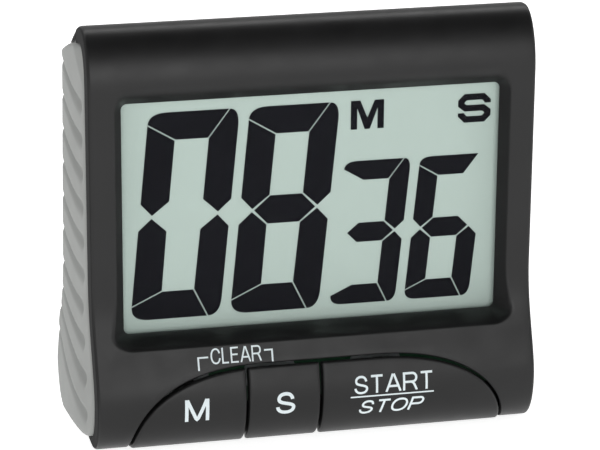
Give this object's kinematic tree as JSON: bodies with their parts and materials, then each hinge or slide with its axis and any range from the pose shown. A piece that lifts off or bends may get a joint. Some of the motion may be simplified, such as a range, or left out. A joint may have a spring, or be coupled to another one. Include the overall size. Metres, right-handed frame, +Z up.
{
  "type": "digital kitchen timer",
  "caption": "Digital countdown kitchen timer with a large display, three push buttons in a bulged front, soft side grips, battery door, magnets and fold-out stand.",
  "frame": {"origin": "bottom centre of the whole object's box, on the surface it stands on", "axes": "+Z up, the display and buttons face -Y, +X to the right as the user sees the display"},
  "size_m": [0.0782, 0.03, 0.0702],
  "materials": {
    "shell_black": "fine satin moulded ABS",
    "button_black": "satin moulded ABS with white printed labels",
    "grip_grey": "matt soft-touch rubber with moulded scallops",
    "lens_clear": "clear moulded acrylic, polished",
    "lcd_glass": "display glass with grey-green reflective ground",
    "polariser": "polarising film",
    "reflector": "satin reflective film",
    "holder_white": "white moulded plastic",
    "elastomer": "striped conductive rubber",
    "silicone": "matt silicone rubber",
    "board_green": "solder-masked glass-fibre board",
    "carbon": "printed carbon",
    "epoxy_black": "glossy cured resin",
    "component_black": "moulded chip body",
    "ceramic": "unglazed ceramic",
    "battery_sleeve": "shrink sleeve with bare metal ends",
    "spring_steel": "nickel-plated spring steel",
    "brass": "bare brass sheet",
    "screw_steel": "zinc-plated steel",
    "magnet": "nickel-plated magnet",
    "wire_red": "PVC insulation",
    "wire_black": "PVC insulation"
  },
  "bodies": {
    "case": {"front_shell": "shell_black", "rear_shell": "shell_black", "left_grip": "grip_grey", "right_grip": "grip_grey", "dome_m": "silicone", "dome_s": "silicone", "dome_start_stop": "silicone", "contact_pad_m": "carbon", "contact_pad_s": "carbon", "contact_pad_start_stop": "carbon", "display_lens": "lens_clear", "front_polariser": "polariser", "lcd_front_glass": "lcd_glass", "lcd_rear_glass": "lcd_glass", "rear_reflector": "reflector", "lcd_holder": "holder_white", "zebra_connector": "elastomer", "main_board": "board_green", "controller_chip": "epoxy_black", "quartz_crystal": "spring_steel", "resistor_1": "component_black", "resistor_2": "component_black", "capacitor_1": "ceramic", "capacitor_2": "ceramic", "board_screw_1": "screw_steel", "board_screw_2": "screw_steel", "battery": "battery_sleeve", "positive_contact": "brass", "negative_contact": "spring_steel", "battery_spring": "spring_steel", "left_magnet": "magnet", "right_magnet": "magnet", "buzzer_plate": "brass", "buzzer_ceramic": "ceramic", "case_screw_1": "screw_steel", "case_screw_2": "screw_steel", "case_screw_3": "screw_steel", "case_screw_4": "screw_steel", "battery_lead_red": "wire_red", "battery_lead_black": "wire_black", "buzzer_lead_red": "wire_red", "buzzer_lead_black": "wire_black"},
    "button_m": {"button_m": "button_black"},
    "button_s": {"button_s": "button_black"},
    "button_start_stop": {"button_start_stop": "button_black"},
    "battery_door": {"battery_door": "shell_black"},
    "stand": {"stand": "shell_black"}
  },
  "joints": [
    {"name": "press_m", "type": "slide", "parent": "case", "child": "button_m", "axis": [0, 1, 0], "range_m": [0, 0.0008], "stiffness_N_per_m": 900, "springref_m": -0.0006, "deforming": ["dome_m"]},
    {"name": "press_s", "type": "slide", "parent": "case", "child": "button_s", "axis": [0, 1, 0], "range_m": [0, 0.0008], "stiffness_N_per_m": 900, "springref_m": -0.0006, "deforming": ["dome_s"]},
    {"name": "press_start_stop", "type": "slide", "parent": "case", "child": "button_start_stop", "axis": [0, 1, 0], "range_m": [0, 0.0008], "stiffness_N_per_m": 900, "springref_m": -0.0006, "deforming": ["dome_start_stop"]},
    {"name": "door_off", "type": "slide", "parent": "case", "child": "battery_door", "axis": [0, 1, 0], "range_m": [0, 0.02]},
    {"name": "stand_fold", "type": "hinge", "parent": "case", "child": "stand", "pos_m": [0, 0.0099, 0.0548], "axis": [1, 0, 0], "range_deg": [0, 55]}
  ]
}
